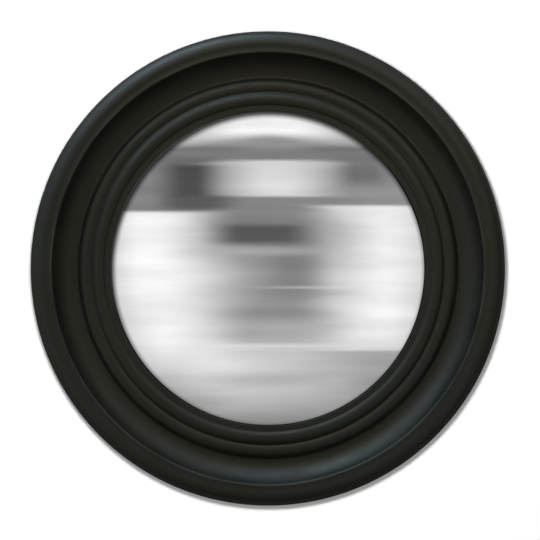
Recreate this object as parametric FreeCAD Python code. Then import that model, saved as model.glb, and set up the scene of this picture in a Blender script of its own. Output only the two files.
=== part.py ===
import FreeCAD, Part

# Round wall mirror: a convex silvered glass in a turned and painted frame of two wooden rings.
# Lengths are in millimetres and angles in degrees. The glass faces -Y and +Z is up. The origin lies on the
# mirror's axis in the plane of the wall, which is the plane that the four rubber bumpers rest on.
# Sections are drawn as a radius and a height. The height is measured forward from the frame's back face,
# so what stands behind the frame, towards the wall, has a negative height.

import math
import os

# Glass
sight_radius = 124.0
glass_bearing = 3.0
glass_play = 1.0
glass_thickness = 3.0
glass_edge_bevel = 0.4
dome_radius = 400.0

# Felt seat, foam strip, packing ring and backboard, which hold the glass from both sides
seat_clearance = 0.1
felt_thickness = 0.5
felt_setback = 0.3
foam_thickness = 3.5
foam_play = 0.8
packing_width = 14.5
packing_thickness = 9.5
packing_play = 0.5
backboard_thickness = 3.0
backboard_play = 0.4

# Inner ring: sight lip and two beads
lip_width = 5.0
lip_thickness = 1.2
lip_rounding = 0.5
lip_quirk = 0.5
inner_bead_radius = 7.4
outer_bead_radius = 7.05
bead_inner_flank = 36.5
inner_bead_flank = 50.0
outer_bead_flank = 65.0

# Joint between the two rings
joint_gap = 0.2
joint_step = 0.65
toe_overlap = 2.8
toe_thickness = 4.5

# Outer ring: cove, lip, valley and rim bead
cove_flat = 0.4
cove_radius = 19.4
cove_sweep = 71.0
arris_radius = 1.45
valley_radius = 13.7
rim_bead_radius = 10.4
rim_inner_flank = 9.6
rim_return = 40.0
side_inset = 3.5
side_taper = 1.5
back_chamfer = 1.0

# Rubber bumpers
bumper_height = 5.0
bumper_radius = 6.0
bumper_rounding = 1.2
bumper_edge_margin = 8.0
bumper_angles = (30.0, 150.0, 210.0, 330.0)

# Turn buttons
button_angles = (0.0, 60.0, 120.0, 180.0, 240.0, 300.0)
button_width = 9.0
button_thickness = 1.2
button_reach = 18.5
button_lift = 0.1
button_edge_margin = 6.3
button_hole_play = 0.25
button_rib_width = 2.6
button_rib_rise = 0.5
button_rib_margin = 1.0

# Wood screws
screw_shank_radius = 1.6
screw_head_radius = 3.4
screw_head_height = 1.9
screw_head_edge = 0.5
screw_depth = 14.0
screw_tip_length = 3.2
screw_recess_width = 0.9
screw_recess_length = 3.8
screw_recess_depth = 1.1
screw_lift = 0.1
pilot_play = 0.05
pilot_end_play = 0.6
cut_overrun = 0.5

# Hanger: plate with a rolled knuckle, and the ring that swings in it
plate_height = 11.0
plate_thickness = 1.0
plate_screw_inset = 5.5
plate_hole_play = 0.3
knuckle_width = 9.0
knuckle_play = 0.2
knuckle_neck = 1.5
knuckle_sweep = 285.0
ring_wire_radius = 1.1
ring_knuckle_margin = 1.5
ring_corner_radius = 2.6
ring_leg_length = 2.1
ring_screw_margin = 1.4
hanger_setback = 3.5

# Radii, from the sight edge outwards
glass_radius = sight_radius + glass_bearing
glass_rebate_radius = glass_radius + glass_play
lip_outer_radius = sight_radius + lip_width


def sine(angle):
    return math.sin(math.radians(angle))


def cosine(angle):
    return math.cos(math.radians(angle))


inner_bead_centre = lip_outer_radius + inner_bead_radius * sine(bead_inner_flank)
bead_groove_radius = inner_bead_centre + inner_bead_radius * sine(inner_bead_flank)
outer_bead_centre = bead_groove_radius + outer_bead_radius * sine(bead_inner_flank)
inner_ring_front_radius = outer_bead_centre + outer_bead_radius * sine(outer_bead_flank)
toe_radius = inner_ring_front_radius + joint_gap
frame_rebate_radius = toe_radius + toe_overlap
inner_ring_radius = frame_rebate_radius - joint_gap
cove_centre_radius = toe_radius + cove_flat
arris_top_radius = cove_centre_radius + (cove_radius + arris_radius) * sine(cove_sweep)
valley_centre_radius = arris_top_radius + valley_radius * sine(rim_inner_flank)
rim_bead_centre_radius = valley_centre_radius + (valley_radius + rim_bead_radius) * sine(rim_inner_flank)
frame_radius = rim_bead_centre_radius + rim_bead_radius
side_top_radius = frame_radius - side_inset
side_back_radius = side_top_radius - side_taper


def sphere_height(centre_height, sphere_radius, radius):
    """Height at a radius on a sphere whose centre lies on the mirror's axis."""
    return centre_height + math.sqrt(sphere_radius ** 2 - radius ** 2)


# Heights, from the frame's back face forwards
packing_front = backboard_thickness + packing_thickness
glass_back_rim = packing_front + foam_thickness
dome_back_radius = dome_radius - glass_thickness
dome_centre = glass_back_rim - sphere_height(0.0, dome_back_radius, glass_radius)
felt_inner_radius = sight_radius + felt_setback
ledge_height = sphere_height(dome_centre, dome_radius, felt_inner_radius) + felt_thickness
lip_front = ledge_height + lip_thickness
inner_bead_base = lip_front + lip_quirk
inner_bead_centre_height = inner_bead_base - inner_bead_radius * cosine(bead_inner_flank)
bead_groove_height = inner_bead_centre_height + inner_bead_radius * cosine(inner_bead_flank)
outer_bead_centre_height = bead_groove_height - outer_bead_radius * cosine(bead_inner_flank)
outer_bead_base = outer_bead_centre_height + outer_bead_radius * cosine(outer_bead_flank)
cove_floor = outer_bead_base - joint_step
toe_ledge = cove_floor - toe_thickness
cove_centre_height = cove_floor + cove_radius
arris_centre_height = cove_centre_height - (cove_radius + arris_radius) * cosine(cove_sweep)
arris_top = arris_centre_height + arris_radius
valley_centre_height = arris_top + valley_radius * cosine(rim_inner_flank)
rim_bead_centre_height = arris_top - rim_bead_radius * cosine(rim_inner_flank)
rim_return_height = rim_bead_centre_height - rim_bead_radius * sine(rim_return)

# Fastener and hanger places
button_screw_radius = frame_rebate_radius + button_edge_margin
button_screw_seat = -(button_lift + button_thickness + screw_lift)
bumper_place_radius = side_back_radius - bumper_edge_margin - bumper_radius
knuckle_bore_radius = ring_wire_radius + knuckle_play
knuckle_outer_radius = knuckle_bore_radius + plate_thickness
ring_bar_half = knuckle_width / 2 + ring_knuckle_margin
ring_half_width = ring_bar_half + ring_corner_radius
ring_drop = ring_corner_radius + ring_leg_length + ring_half_width
ring_pivot_z = frame_radius - hanger_setback - ring_drop - ring_wire_radius
ring_pivot_height = -knuckle_outer_radius
plate_centre_z = ring_pivot_z - knuckle_neck - plate_height / 2
plate_screw_x = ring_half_width + ring_wire_radius + ring_screw_margin + screw_head_radius
plate_length = 2 * (plate_screw_x + plate_screw_inset)

ORIGIN = FreeCAD.Vector(0, 0, 0)
X_AXIS = FreeCAD.Vector(1, 0, 0)
MIRROR_AXIS = FreeCAD.Vector(0, 1, 0)
FULL_TURN = 360.0
QUARTER_TURN = 90.0


def depth_y(height):
    """The Y of a height in front of the frame's back face."""
    return -(bumper_height + height)


class Section:
    """A closed outline of radius and height, drawn step by step and then turned about the mirror's axis."""

    def __init__(self, radius, height):
        self.start = self.here = (radius, height)
        self.edges = []

    def vector(self, place):
        return FreeCAD.Vector(place[0], depth_y(place[1]), 0)

    def line_to(self, radius, height):
        self.edges.append(Part.LineSegment(self.vector(self.here), self.vector((radius, height))).toShape())
        self.here = (radius, height)

    def arc_to(self, centre, arc_radius, first, last):
        """An arc about centre, between two angles that are 0 outwards and 90 forwards."""
        angles = (first, (first + last) / 2, last)
        places = [(centre[0] + arc_radius * cosine(a), centre[1] + arc_radius * sine(a)) for a in angles]
        self.edges.append(Part.Arc(*[self.vector(p) for p in places]).toShape())
        self.here = places[-1]

    def turned(self):
        if math.dist(self.here, self.start) > Part.Precision.confusion():
            self.line_to(*self.start)
        solid = Part.Face(Part.Wire(self.edges)).revolve(ORIGIN, MIRROR_AXIS, FULL_TURN)
        if solid.Volume < 0:
            solid.reverse()
        return solid


def axis_angle(sphere_radius, radius):
    """The arc angle at which a sphere centred on the axis reaches a radius."""
    return math.degrees(math.acos(radius / sphere_radius))


def bar_along_y(radius, back_height, front_height):
    """A round bar on the mirror's axis between two heights."""
    length = front_height - back_height
    return Part.makeCylinder(radius, length, FreeCAD.Vector(0, depth_y(front_height), 0), MIRROR_AXIS)


def placed(shape, radius, angle):
    """A copy of a shape from the mirror's axis, moved out along +X and turned up towards +Z by an angle."""
    copy = shape.copy()
    copy.translate(FreeCAD.Vector(radius, 0, 0))
    copy.rotate(ORIGIN, MIRROR_AXIS, -angle)
    return copy


def outer_ring():
    """Cove, lip, valley and rim bead in front, a rebate and a flat face at the back."""
    rim_centre = (rim_bead_centre_radius, rim_bead_centre_height)
    section = Section(frame_rebate_radius, 0.0)
    section.line_to(side_back_radius - back_chamfer, 0.0)
    section.line_to(side_back_radius, back_chamfer)
    section.line_to(side_top_radius, rim_return_height)
    section.line_to(rim_bead_centre_radius + rim_bead_radius * cosine(rim_return), rim_return_height)
    section.arc_to(rim_centre, rim_bead_radius, -rim_return, QUARTER_TURN + rim_inner_flank)
    section.arc_to((valley_centre_radius, valley_centre_height), valley_radius,
                   rim_inner_flank - QUARTER_TURN, -rim_inner_flank - QUARTER_TURN)
    section.arc_to((arris_top_radius, arris_centre_height), arris_radius,
                   QUARTER_TURN, QUARTER_TURN + cove_sweep)
    section.arc_to((cove_centre_radius, cove_centre_height), cove_radius,
                   cove_sweep - QUARTER_TURN, -QUARTER_TURN)
    section.line_to(toe_radius, cove_floor)
    section.line_to(toe_radius, toe_ledge)
    section.line_to(frame_rebate_radius, toe_ledge)
    ring = section.turned()
    for hole in pilot_holes():
        ring = ring.cut(hole)
    return ring


def pilot_holes():
    """Blind holes in the outer ring's back, one for each screw."""
    hole = bar_along_y(screw_shank_radius + pilot_play, -cut_overrun, screw_depth + pilot_end_play)
    holes = [placed(hole, button_screw_radius, angle) for angle in button_angles]
    for side in (-1, 1):
        beside = hole.copy()
        beside.translate(FreeCAD.Vector(side * plate_screw_x, 0, plate_centre_z))
        holes.append(beside)
    return holes


def inner_ring():
    """Sight lip and two beads in front, a flange behind the outer ring's toe and the rebate for the glass."""
    section = Section(glass_rebate_radius, backboard_thickness)
    section.line_to(inner_ring_radius, backboard_thickness)
    section.line_to(inner_ring_radius, toe_ledge)
    section.line_to(inner_ring_front_radius, toe_ledge)
    section.line_to(inner_ring_front_radius, outer_bead_base)
    section.arc_to((outer_bead_centre, outer_bead_centre_height), outer_bead_radius,
                   QUARTER_TURN - outer_bead_flank, QUARTER_TURN + bead_inner_flank)
    section.arc_to((inner_bead_centre, inner_bead_centre_height), inner_bead_radius,
                   QUARTER_TURN - inner_bead_flank, QUARTER_TURN + bead_inner_flank)
    section.line_to(lip_outer_radius, lip_front)
    section.line_to(sight_radius + lip_rounding, lip_front)
    section.arc_to((sight_radius + lip_rounding, lip_front - lip_rounding), lip_rounding,
                   QUARTER_TURN, 2 * QUARTER_TURN)
    section.line_to(sight_radius, ledge_height)
    section.line_to(glass_rebate_radius, ledge_height)
    return section.turned()


def mirror_glass():
    """A shell of even thickness between two spheres, with a bevelled rim."""
    front_angle = axis_angle(dome_radius, glass_radius - glass_edge_bevel)
    back_angle = axis_angle(dome_back_radius, glass_radius - glass_edge_bevel)
    front_rim = sphere_height(dome_centre, dome_radius, glass_radius)
    section = Section(0.0, dome_centre + dome_radius)
    section.arc_to((0.0, dome_centre), dome_radius, QUARTER_TURN, front_angle)
    section.line_to(glass_radius, front_rim - glass_edge_bevel)
    section.line_to(glass_radius, glass_back_rim + glass_edge_bevel)
    section.line_to(glass_radius - glass_edge_bevel,
                    sphere_height(dome_centre, dome_back_radius, glass_radius - glass_edge_bevel))
    section.arc_to((0.0, dome_centre), dome_back_radius, back_angle, QUARTER_TURN)
    return section.turned()


def felt_seat():
    """Soft ring between the sight lip and the front of the glass."""
    felt_outer_radius = glass_radius - felt_setback
    seat_radius = dome_radius + seat_clearance
    section = Section(felt_inner_radius, ledge_height)
    section.line_to(felt_outer_radius, ledge_height)
    section.line_to(felt_outer_radius, sphere_height(dome_centre, seat_radius, felt_outer_radius))
    section.arc_to((0.0, dome_centre), seat_radius, axis_angle(seat_radius, felt_outer_radius),
                   axis_angle(seat_radius, felt_inner_radius))
    return section.turned()


def foam_strip():
    """Soft ring on the packing ring, shaped to the hollow back of the glass."""
    foam_outer_radius = glass_radius - foam_play
    foam_inner_radius = glass_rebate_radius - packing_play - packing_width
    seat_radius = dome_back_radius - seat_clearance
    section = Section(foam_inner_radius, packing_front)
    section.line_to(foam_outer_radius, packing_front)
    section.line_to(foam_outer_radius, sphere_height(dome_centre, seat_radius, foam_outer_radius))
    section.arc_to((0.0, dome_centre), seat_radius, axis_angle(seat_radius, foam_outer_radius),
                   axis_angle(seat_radius, foam_inner_radius))
    return section.turned()


def packing_ring():
    """Flat ring that fills the rebate between the backboard and the foam."""
    packing_outer_radius = glass_rebate_radius - packing_play
    section = Section(packing_outer_radius - packing_width, backboard_thickness)
    section.line_to(packing_outer_radius, backboard_thickness)
    section.line_to(packing_outer_radius, packing_front)
    section.line_to(packing_outer_radius - packing_width, packing_front)
    return section.turned()


def backboard():
    """Disc that closes the back, flush with the outer ring."""
    return bar_along_y(frame_rebate_radius - backboard_play, 0.0, backboard_thickness)


def bumper():
    """Rubber pad with a rounded edge and a flat face towards the wall."""
    section = Section(0.0, 0.0)
    section.line_to(bumper_radius, 0.0)
    section.line_to(bumper_radius, bumper_rounding - bumper_height)
    section.arc_to((bumper_radius - bumper_rounding, bumper_rounding - bumper_height), bumper_rounding,
                   0.0, -QUARTER_TURN)
    section.line_to(0.0, -bumper_height)
    return section.turned()


def stadium(width, first_x, last_x, back_height, front_height):
    """A flat bar along X with round ends centred at two places."""
    length = last_x - first_x
    middle = Part.makeBox(length, front_height - back_height, width,
                          FreeCAD.Vector(first_x, depth_y(front_height), -width / 2))
    end = bar_along_y(width / 2, back_height, front_height)
    ends = []
    for centre_x in (first_x, last_x):
        round_end = end.copy()
        round_end.translate(FreeCAD.Vector(centre_x, 0, 0))
        ends.append(round_end)
    return middle.fuse(ends).removeSplitter()


def turn_button():
    """Flat steel button with a stamped rib. Its screw is on the axis here and its tip points along -X."""
    near_face = -button_lift
    far_face = near_face - button_thickness
    tip_x = button_width / 2 - button_reach
    rib_first = tip_x + button_rib_width / 2
    rib_last = -(screw_head_radius + button_rib_margin + button_rib_width / 2)
    button = stadium(button_width, tip_x, 0.0, far_face, near_face)
    raised = stadium(button_rib_width, rib_first, rib_last, far_face - button_rib_rise, far_face)
    pressed = stadium(button_rib_width, rib_first, rib_last, near_face - button_rib_rise, near_face)
    hole = bar_along_y(screw_shank_radius + button_hole_play, far_face - cut_overrun, near_face + cut_overrun)
    return button.fuse(raised).cut(pressed).cut(hole)


def wood_screw(seat):
    """Round-headed screw on the axis, with its head seated at a height behind the frame's back face."""
    crown = screw_head_height - screw_head_edge
    crown_radius = (screw_head_radius ** 2 + crown ** 2) / (2 * crown)
    crown_centre = seat - screw_head_height + crown_radius
    section = Section(0.0, screw_depth)
    section.line_to(screw_shank_radius, screw_depth - screw_tip_length)
    section.line_to(screw_shank_radius, seat)
    section.line_to(screw_head_radius, seat)
    section.line_to(screw_head_radius, seat - screw_head_edge)
    section.arc_to((0.0, crown_centre), crown_radius, -axis_angle(crown_radius, screw_head_radius),
                   -QUARTER_TURN)
    screw = section.turned()
    recess_front = depth_y(seat - screw_head_height + screw_recess_depth)
    recess_depth = screw_recess_depth + cut_overrun
    slot_sizes = (screw_recess_length, screw_recess_width)
    for slot_x, slot_z in (slot_sizes, slot_sizes[::-1]):
        corner = FreeCAD.Vector(-slot_x / 2, recess_front, -slot_z / 2)
        screw = screw.cut(Part.makeBox(slot_x, recess_depth, slot_z, corner))
    return screw


def hanger_plate():
    """Two-screw plate whose middle is rolled into a knuckle round the hanging ring."""
    plate_end_x = (plate_length - plate_height) / 2
    plate = stadium(plate_height, -plate_end_x, plate_end_x, -plate_thickness, 0.0)
    plate.translate(FreeCAD.Vector(0, 0, plate_centre_z))
    tongue = Part.makeBox(knuckle_width, plate_thickness, ring_pivot_z - plate_centre_z,
                          FreeCAD.Vector(-knuckle_width / 2, depth_y(0.0), plate_centre_z))
    hanger = plate.fuse([tongue, rolled_knuckle()]).removeSplitter()
    hole = bar_along_y(screw_shank_radius + plate_hole_play, -plate_thickness - cut_overrun, cut_overrun)
    for side in (-1, 1):
        beside = hole.copy()
        beside.translate(FreeCAD.Vector(side * plate_screw_x, 0, plate_centre_z))
        hanger = hanger.cut(beside)
    return hanger


def rolled_knuckle():
    """The plate's tongue curled up and over, from the frame's back face round the ring's bar."""

    def around(radius, angle):
        """A place round the pivot, where 0 is towards the frame and 90 is up."""
        return FreeCAD.Vector(-knuckle_width / 2, depth_y(ring_pivot_height) - radius * cosine(angle),
                              ring_pivot_z + radius * sine(angle))

    outer = [around(knuckle_outer_radius, a) for a in (0.0, knuckle_sweep / 2, knuckle_sweep)]
    inner = [around(knuckle_bore_radius, a) for a in (knuckle_sweep, knuckle_sweep / 2, 0.0)]
    edges = [Part.Arc(*outer).toShape(), Part.LineSegment(outer[-1], inner[0]).toShape(),
             Part.Arc(*inner).toShape(), Part.LineSegment(inner[-1], outer[0]).toShape()]
    return Part.Face(Part.Wire(edges)).extrude(FreeCAD.Vector(knuckle_width, 0, 0))


def hanging_ring():
    """D-shaped wire ring: a straight bar in the knuckle, two legs and a half-round bow, hanging down."""
    pivot = FreeCAD.Vector(0, depth_y(ring_pivot_height), ring_pivot_z)
    leg_top = ring_pivot_z - ring_corner_radius
    bow_centre_z = leg_top - ring_leg_length
    bar_start = pivot - FreeCAD.Vector(ring_bar_half, 0, 0)
    pieces = [Part.makeCylinder(ring_wire_radius, 2 * ring_bar_half, bar_start, X_AXIS)]
    for side in (-1, 1):
        corner_centre = FreeCAD.Vector(side * ring_bar_half, pivot.y, leg_top)
        corner = Part.makeTorus(ring_corner_radius, ring_wire_radius, corner_centre, MIRROR_AXIS)
        reach = ring_corner_radius + 2 * ring_wire_radius
        quarter = Part.makeBox(reach, 2 * reach, reach, FreeCAD.Vector(0, -reach, 0))
        if side < 0:
            quarter.translate(FreeCAD.Vector(-reach, 0, 0))
        quarter.translate(corner_centre)
        pieces.append(corner.common(quarter))
        leg_foot = FreeCAD.Vector(side * ring_half_width, pivot.y, bow_centre_z)
        pieces.append(Part.makeCylinder(ring_wire_radius, leg_top - bow_centre_z, leg_foot))
    bow_centre = FreeCAD.Vector(0, pivot.y, bow_centre_z)
    bow = Part.makeTorus(ring_half_width, ring_wire_radius, bow_centre, MIRROR_AXIS)
    reach = ring_half_width + 2 * ring_wire_radius
    lower_half = Part.makeBox(2 * reach, 2 * reach, reach, bow_centre - FreeCAD.Vector(reach, reach, reach))
    pieces.append(bow.common(lower_half))
    return pieces[0].fuse(pieces[1:]).removeSplitter()


def hanger_screw(side):
    """One of the two screws through the hanger plate."""
    screw = wood_screw(-plate_thickness)
    screw.translate(FreeCAD.Vector(side * plate_screw_x, 0, plate_centre_z))
    return screw


def build():
    """Every node of the mirror by name."""
    nodes = {
        "outer_frame_ring": outer_ring(),
        "inner_bead_ring": inner_ring(),
        "convex_mirror_glass": mirror_glass(),
        "felt_seat_ring": felt_seat(),
        "foam_strip_ring": foam_strip(),
        "packing_ring": packing_ring(),
        "backboard": backboard(),
        "hanger_plate": hanger_plate(),
        "hanging_ring": hanging_ring(),
        "hanger_screw_left": hanger_screw(1),
        "hanger_screw_right": hanger_screw(-1),
    }
    button_screw = wood_screw(button_screw_seat)
    for number, angle in enumerate(button_angles, start=1):
        nodes[f"turn_button_{number}"] = placed(turn_button(), button_screw_radius, angle)
        nodes[f"turn_button_screw_{number}"] = placed(button_screw, button_screw_radius, angle)
    for number, angle in enumerate(bumper_angles, start=1):
        nodes[f"wall_bumper_{number}"] = placed(bumper(), bumper_place_radius, angle)
    return nodes


def main():
    os.makedirs("parts", exist_ok=True)
    for name, shape in build().items():
        shape.exportStep(f"parts/{name}.step")
        print(f"{name}: valid {shape.isValid()}, solids {len(shape.Solids)}, volume {shape.Volume:.1f}")
    print(f"frame radius {frame_radius:.2f}, frame depth {rim_bead_centre_height + rim_bead_radius:.2f}")
    print(f"glass apex {dome_centre + dome_radius:.2f}, sight lip front {lip_front:.2f}")
    print(f"ring pivot y {depth_y(ring_pivot_height):.3f}, z {ring_pivot_z:.3f}")
    print(f"button screws at radius {button_screw_radius:.3f}, bumpers at radius {bumper_place_radius:.3f}")


main()
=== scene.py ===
# Looks of the round wall mirror: a convex silvered glass in a turned frame with a satin off-black finish.
# Lengths are in millimetres, angles in degrees. The glass faces -Y, +Z is up and the wall is the plane Y = 0.
# A section is drawn as a radius and a height, and the height is measured forward from the frame's back face.
# Around the mirror's axis, angle 0 is +X and angle 90 is up.

import math

import bmesh
import bpy
import numpy as np
from mathutils import Matrix, Vector


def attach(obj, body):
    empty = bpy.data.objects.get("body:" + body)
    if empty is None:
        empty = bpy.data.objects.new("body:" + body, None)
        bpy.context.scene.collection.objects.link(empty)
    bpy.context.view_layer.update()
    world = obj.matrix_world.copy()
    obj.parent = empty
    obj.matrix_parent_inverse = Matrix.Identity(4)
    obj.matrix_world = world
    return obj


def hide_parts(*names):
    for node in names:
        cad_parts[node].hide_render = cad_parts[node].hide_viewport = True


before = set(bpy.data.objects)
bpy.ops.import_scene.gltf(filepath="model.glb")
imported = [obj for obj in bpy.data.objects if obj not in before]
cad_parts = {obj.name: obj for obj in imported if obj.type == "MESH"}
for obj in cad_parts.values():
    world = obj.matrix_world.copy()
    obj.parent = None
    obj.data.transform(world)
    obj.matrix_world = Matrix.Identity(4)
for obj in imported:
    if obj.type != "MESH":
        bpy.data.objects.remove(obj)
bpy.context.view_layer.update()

MM = 0.001

# Glass
sight_radius = 124.0
glass_bearing = 3.0
glass_play = 1.0
glass_thickness = 3.0
glass_edge_bevel = 0.4
dome_radius = 400.0

# Felt seat and what lies behind the glass
seat_clearance = 0.1
felt_thickness = 0.5
felt_setback = 0.3
foam_thickness = 3.5
foam_play = 0.8
foam_bulge = 0.6
packing_width = 14.5
packing_thickness = 9.5
packing_play = 0.5
backboard_thickness = 3.0
backboard_play = 0.4

# Inner ring
lip_width = 5.0
lip_thickness = 1.2
lip_quirk = 0.5
inner_bead_radius = 7.4
outer_bead_radius = 7.05
bead_inner_flank = 36.5
inner_bead_flank = 50.0
outer_bead_flank = 65.0

# Joint between the two rings
joint_gap = 0.2
joint_step = 0.65
toe_overlap = 2.8
toe_thickness = 4.5
joint_sweep = 4.0

# Outer ring
cove_flat = 0.4
cove_radius = 19.4
cove_sweep = 71.0
arris_radius = 1.45
valley_radius = 13.7
rim_bead_radius = 10.4
rim_inner_flank = 9.6
rim_return = 40.0
side_inset = 3.5
side_taper = 1.5
back_chamfer = 1.0

# Rubber bumpers
bumper_height = 5.0
bumper_radius = 6.0
bumper_rounding = 1.2
bumper_foot_height = 0.6
bumper_foot_step = 0.35
bumper_edge_margin = 8.0
bumper_angles = (30.0, 150.0, 210.0, 330.0)

# Turn buttons
button_angles = (0.0, 60.0, 120.0, 180.0, 240.0, 300.0)
button_width = 9.0
button_thickness = 1.2
button_reach = 18.5
button_lift = 0.1
button_edge_margin = 6.3
button_hole_play = 0.25
button_rib_width = 2.6
button_rib_rise = 0.5
button_rib_margin = 1.0
button_edge_rounding = 0.35
rounding_steps = 4
rib_steps = 6

# Wood screws
screw_shank_radius = 1.6
screw_root_radius = 1.2
screw_thread_pitch = 1.5
screw_neck_length = 1.2
screw_head_radius = 3.4
screw_head_height = 1.9
screw_head_edge = 0.5
screw_depth = 14.0
screw_tip_length = 3.2
screw_recess_width = 0.9
screw_recess_length = 3.8
screw_recess_depth = 1.1
screw_lift = 0.1
screw_turn_step = 31.0
screw_thread_sharpness = 3.2
screw_crown_steps = 12
screw_thread_steps = 72
# Depth, length and width of the cross recess at its levels, as shares
screw_recess_levels = ((-0.5, 1.15, 1.1), (0.0, 1.0, 1.0), (1.0, 0.45, 0.8))

# Hanger
plate_height = 11.0
plate_thickness = 1.0
plate_hole_play = 0.3
plate_edge_rounding = 0.25
knuckle_width = 9.0
knuckle_play = 0.2
knuckle_neck = 1.5
knuckle_sweep = 285.0
knuckle_edge_rounding = 0.2
knuckle_inset = 0.01
knuckle_steps = 48
knuckle_corner_steps = 3
ring_wire_radius = 1.1
ring_knuckle_margin = 1.5
ring_corner_radius = 2.6
ring_leg_length = 2.1
ring_bend_step = 6.0
ring_wire_sides = 20
ring_screw_margin = 1.4
hanger_setback = 3.5

# How finely the pieces are made, and from what angle an edge is sharp
ring_segments = 288
small_segments = 40
sharp_angle = 35.0
outline_grain = 0.05
outline_tolerance = 0.004
arc_grain = 0.1
paint_softness = 0.4
soft_edge = 0.3
crisp_softness = 0.12


def sine(angle):
    return math.sin(math.radians(angle))


def cosine(angle):
    return math.cos(math.radians(angle))


def steps(first, last, count):
    """Numbers at even steps, with both ends."""
    return [first + (last - first) * k / count for k in range(count + 1)]


def sphere_height(centre_height, sphere_radius, radius):
    """Height at a radius on a sphere whose centre lies on the mirror's axis."""
    return centre_height + math.sqrt(sphere_radius ** 2 - radius ** 2)


# Radii, from the sight edge outwards
glass_radius = sight_radius + glass_bearing
glass_rebate_radius = glass_radius + glass_play
lip_outer_radius = sight_radius + lip_width
inner_bead_centre = lip_outer_radius + inner_bead_radius * sine(bead_inner_flank)
bead_groove_radius = inner_bead_centre + inner_bead_radius * sine(inner_bead_flank)
outer_bead_centre = bead_groove_radius + outer_bead_radius * sine(bead_inner_flank)
inner_ring_front_radius = outer_bead_centre + outer_bead_radius * sine(outer_bead_flank)
toe_radius = inner_ring_front_radius + joint_gap
frame_rebate_radius = toe_radius + toe_overlap
inner_ring_radius = frame_rebate_radius - joint_gap
packing_outer_radius = glass_rebate_radius - packing_play
packing_inner_radius = packing_outer_radius - packing_width
cove_centre_radius = toe_radius + cove_flat
arris_top_radius = cove_centre_radius + (cove_radius + arris_radius) * sine(cove_sweep)
valley_centre_radius = arris_top_radius + valley_radius * sine(rim_inner_flank)
rim_bead_centre_radius = valley_centre_radius + (valley_radius + rim_bead_radius) * sine(rim_inner_flank)
frame_radius = rim_bead_centre_radius + rim_bead_radius
side_top_radius = frame_radius - side_inset
side_back_radius = side_top_radius - side_taper

# Heights, from the frame's back face forwards
packing_front = backboard_thickness + packing_thickness
glass_back_rim = packing_front + foam_thickness
dome_back_radius = dome_radius - glass_thickness
dome_centre = glass_back_rim - sphere_height(0.0, dome_back_radius, glass_radius)
felt_inner_radius = sight_radius + felt_setback
ledge_height = sphere_height(dome_centre, dome_radius, felt_inner_radius) + felt_thickness
lip_front = ledge_height + lip_thickness
inner_bead_base = lip_front + lip_quirk
inner_bead_centre_height = inner_bead_base - inner_bead_radius * cosine(bead_inner_flank)
bead_groove_height = inner_bead_centre_height + inner_bead_radius * cosine(inner_bead_flank)
outer_bead_centre_height = bead_groove_height - outer_bead_radius * cosine(bead_inner_flank)
outer_bead_base = outer_bead_centre_height + outer_bead_radius * cosine(outer_bead_flank)
cove_floor = outer_bead_base - joint_step
toe_ledge = cove_floor - toe_thickness
cove_centre_height = cove_floor + cove_radius
joint_turn = outer_bead_flank + joint_sweep
joint_fillet = ((cove_centre_radius - inner_ring_front_radius) * sine(outer_bead_flank)
                + (cove_centre_height - outer_bead_base) * cosine(outer_bead_flank)
                - cove_radius * cosine(joint_turn)) / (1 - cosine(joint_turn))
joint_fillet_radius = cove_centre_radius + (cove_radius - joint_fillet) * sine(joint_sweep)
joint_fillet_height = cove_centre_height - (cove_radius - joint_fillet) * cosine(joint_sweep)
arris_centre_height = cove_centre_height - (cove_radius + arris_radius) * cosine(cove_sweep)
arris_top = arris_centre_height + arris_radius
valley_centre_height = arris_top + valley_radius * cosine(rim_inner_flank)
rim_bead_centre_height = arris_top - rim_bead_radius * cosine(rim_inner_flank)
rim_return_height = rim_bead_centre_height - rim_bead_radius * sine(rim_return)

# Fastener and hanger places
button_screw_radius = frame_rebate_radius + button_edge_margin
button_screw_seat = -(button_lift + button_thickness + screw_lift)
bumper_place_radius = side_back_radius - bumper_edge_margin - bumper_radius
knuckle_bore_radius = ring_wire_radius + knuckle_play
knuckle_outer_radius = knuckle_bore_radius + plate_thickness
ring_bar_half = knuckle_width / 2 + ring_knuckle_margin
ring_half_width = ring_bar_half + ring_corner_radius
ring_drop = ring_corner_radius + ring_leg_length + ring_half_width
ring_pivot_z = frame_radius - hanger_setback - ring_drop - ring_wire_radius
ring_pivot_height = -knuckle_outer_radius
plate_centre_z = ring_pivot_z - knuckle_neck - plate_height / 2
plate_screw_x = ring_half_width + ring_wire_radius + ring_screw_margin + screw_head_radius


def depth_y(height):
    """The Y of a height in front of the frame's back face."""
    return -(bumper_height + height)


# Outlines and turned pieces


def arc(centre_radius, centre_height, arc_radius, first, last):
    """Points of an arc between two angles, which are 0 outwards and 90 forwards."""
    count = math.ceil(arc_radius * math.radians(abs(last - first)) / arc_grain)
    return [(centre_radius + arc_radius * cosine(angle), centre_height + arc_radius * sine(angle))
            for angle in steps(first, last, count)]


def dome(sphere_radius, *radii):
    """Part of a sphere about the centre of the glass's dome, between two radii."""
    first, last = (math.degrees(math.acos(radius / sphere_radius)) for radius in radii)
    return arc(0.0, dome_centre, sphere_radius, first, last)


def even_points(points):
    """Points at even steps along a closed outline, an even number of them."""
    closed = np.vstack([points, points[:1]])
    along = np.concatenate([[0.0], np.cumsum(np.linalg.norm(np.diff(closed, axis=0), axis=1))])
    places = np.linspace(0.0, along[-1], 2 * int(along[-1] / outline_grain / 2), endpoint=False)
    return np.column_stack([np.interp(places, along, closed[:, k]) for k in (0, 1)])


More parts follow.
